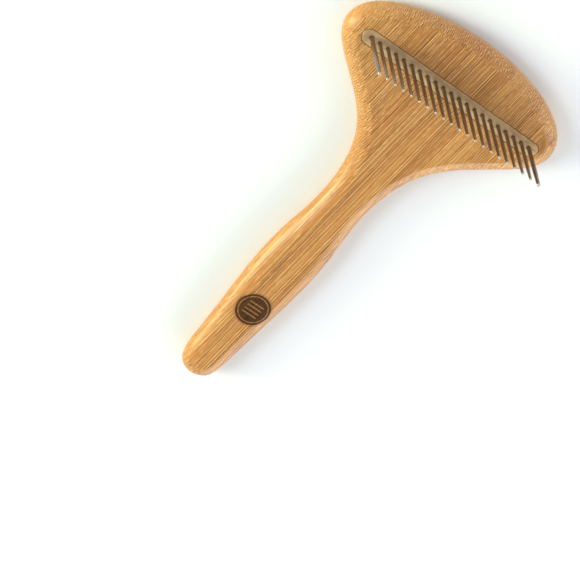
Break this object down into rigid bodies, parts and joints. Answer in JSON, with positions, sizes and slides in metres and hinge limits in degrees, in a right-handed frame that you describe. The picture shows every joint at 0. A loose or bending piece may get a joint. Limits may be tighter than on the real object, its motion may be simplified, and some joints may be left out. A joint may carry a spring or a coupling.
{
  "type": "undercoat rake",
  "caption": "Flat bamboo grooming rake with a fan-shaped head, a slim handle and a row of freely turning round steel pins standing out of a plate in its front face.",
  "frame": {"origin": "centre of the rake's footprint, on the surface that it lies on when it rests on its flat back with the pins up", "axes": "+Z is the way the pins point, out of the front face; +Y runs along the handle to the top of the head; +X runs along the row of pins"},
  "size_m": [0.0926, 0.166, 0.037],
  "materials": {
    "bamboo": "laminated bamboo, fine straight fibre, satin clear lacquer",
    "plate_steel": "satin, finely brushed along its length",
    "pin_steel": "polished steel",
    "backing_steel": "plain zinc-plated strip"
  },
  "bodies": {
    "rake": {"bamboo_body": "bamboo", "pin_plate": "plate_steel", "backing_strip": "backing_steel", "end_pin_left": "pin_steel", "end_pin_right": "pin_steel"},
    "pin_01": {"turning_pin_01": "pin_steel"},
    "pin_02": {"turning_pin_02": "pin_steel"},
    "pin_03": {"turning_pin_03": "pin_steel"},
    "pin_04": {"turning_pin_04": "pin_steel"},
    "pin_05": {"turning_pin_05": "pin_steel"},
    "pin_06": {"turning_pin_06": "pin_steel"},
    "pin_07": {"turning_pin_07": "pin_steel"},
    "pin_08": {"turning_pin_08": "pin_steel"},
    "pin_09": {"turning_pin_09": "pin_steel"},
    "pin_10": {"turning_pin_10": "pin_steel"},
    "pin_11": {"turning_pin_11": "pin_steel"},
    "pin_12": {"turning_pin_12": "pin_steel"},
    "pin_13": {"turning_pin_13": "pin_steel"},
    "pin_14": {"turning_pin_14": "pin_steel"},
    "pin_15": {"turning_pin_15": "pin_steel"},
    "pin_16": {"turning_pin_16": "pin_steel"},
    "pin_17": {"turning_pin_17": "pin_steel"},
    "pin_18": {"turning_pin_18": "pin_steel"},
    "pin_19": {"turning_pin_19": "pin_steel"}
  },
  "joints": [
    {"name": "pin_01_spin", "type": "hinge", "parent": "rake", "child": "pin_01", "pos_m": [-0.0324, 0.0622, 0.0101], "axis": [0, 0, 1], "continuous": true},
    {"name": "pin_02_spin", "type": "hinge", "parent": "rake", "child": "pin_02", "pos_m": [-0.0288, 0.0622, 0.0101], "axis": [0, 0, 1], "continuous": true},
    {"name": "pin_03_spin", "type": "hinge", "parent": "rake", "child": "pin_03", "pos_m": [-0.0252, 0.0622, 0.0101], "axis": [0, 0, 1], "continuous": true},
    {"name": "pin_04_spin", "type": "hinge", "parent": "rake", "child": "pin_04", "pos_m": [-0.0216, 0.0622, 0.0101], "axis": [0, 0, 1], "continuous": true},
    {"name": "pin_05_spin", "type": "hinge", "parent": "rake", "child": "pin_05", "pos_m": [-0.018, 0.0622, 0.0101], "axis": [0, 0, 1], "continuous": true},
    {"name": "pin_06_spin", "type": "hinge", "parent": "rake", "child": "pin_06", "pos_m": [-0.0144, 0.0622, 0.0101], "axis": [0, 0, 1], "continuous": true},
    {"name": "pin_07_spin", "type": "hinge", "parent": "rake", "child": "pin_07", "pos_m": [-0.0108, 0.0622, 0.0101], "axis": [0, 0, 1], "continuous": true},
    {"name": "pin_08_spin", "type": "hinge", "parent": "rake", "child": "pin_08", "pos_m": [-0.0072, 0.0622, 0.0101], "axis": [0, 0, 1], "continuous": true},
    {"name": "pin_09_spin", "type": "hinge", "parent": "rake", "child": "pin_09", "pos_m": [-0.0036, 0.0622, 0.0101], "axis": [0, 0, 1], "continuous": true},
    {"name": "pin_10_spin", "type": "hinge", "parent": "rake", "child": "pin_10", "pos_m": [0, 0.0622, 0.0101], "axis": [0, 0, 1], "continuous": true},
    {"name": "pin_11_spin", "type": "hinge", "parent": "rake", "child": "pin_11", "pos_m": [0.0036, 0.0622, 0.0101], "axis": [0, 0, 1], "continuous": true},
    {"name": "pin_12_spin", "type": "hinge", "parent": "rake", "child": "pin_12", "pos_m": [0.0072, 0.0622, 0.0101], "axis": [0, 0, 1], "continuous": true},
    {"name": "pin_13_spin", "type": "hinge", "parent": "rake", "child": "pin_13", "pos_m": [0.0108, 0.0622, 0.0101], "axis": [0, 0, 1], "continuous": true},
    {"name": "pin_14_spin", "type": "hinge", "parent": "rake", "child": "pin_14", "pos_m": [0.0144, 0.0622, 0.0101], "axis": [0, 0, 1], "continuous": true},
    {"name": "pin_15_spin", "type": "hinge", "parent": "rake", "child": "pin_15", "pos_m": [0.018, 0.0622, 0.0101], "axis": [0, 0, 1], "continuous": true},
    {"name": "pin_16_spin", "type": "hinge", "parent": "rake", "child": "pin_16", "pos_m": [0.0216, 0.0622, 0.0101], "axis": [0, 0, 1], "continuous": true},
    {"name": "pin_17_spin", "type": "hinge", "parent": "rake", "child": "pin_17", "pos_m": [0.0252, 0.0622, 0.0101], "axis": [0, 0, 1], "continuous": true},
    {"name": "pin_18_spin", "type": "hinge", "parent": "rake", "child": "pin_18", "pos_m": [0.0288, 0.0622, 0.0101], "axis": [0, 0, 1], "continuous": true},
    {"name": "pin_19_spin", "type": "hinge", "parent": "rake", "child": "pin_19", "pos_m": [0.0324, 0.0622, 0.0101], "axis": [0, 0, 1], "continuous": true}
  ]
}
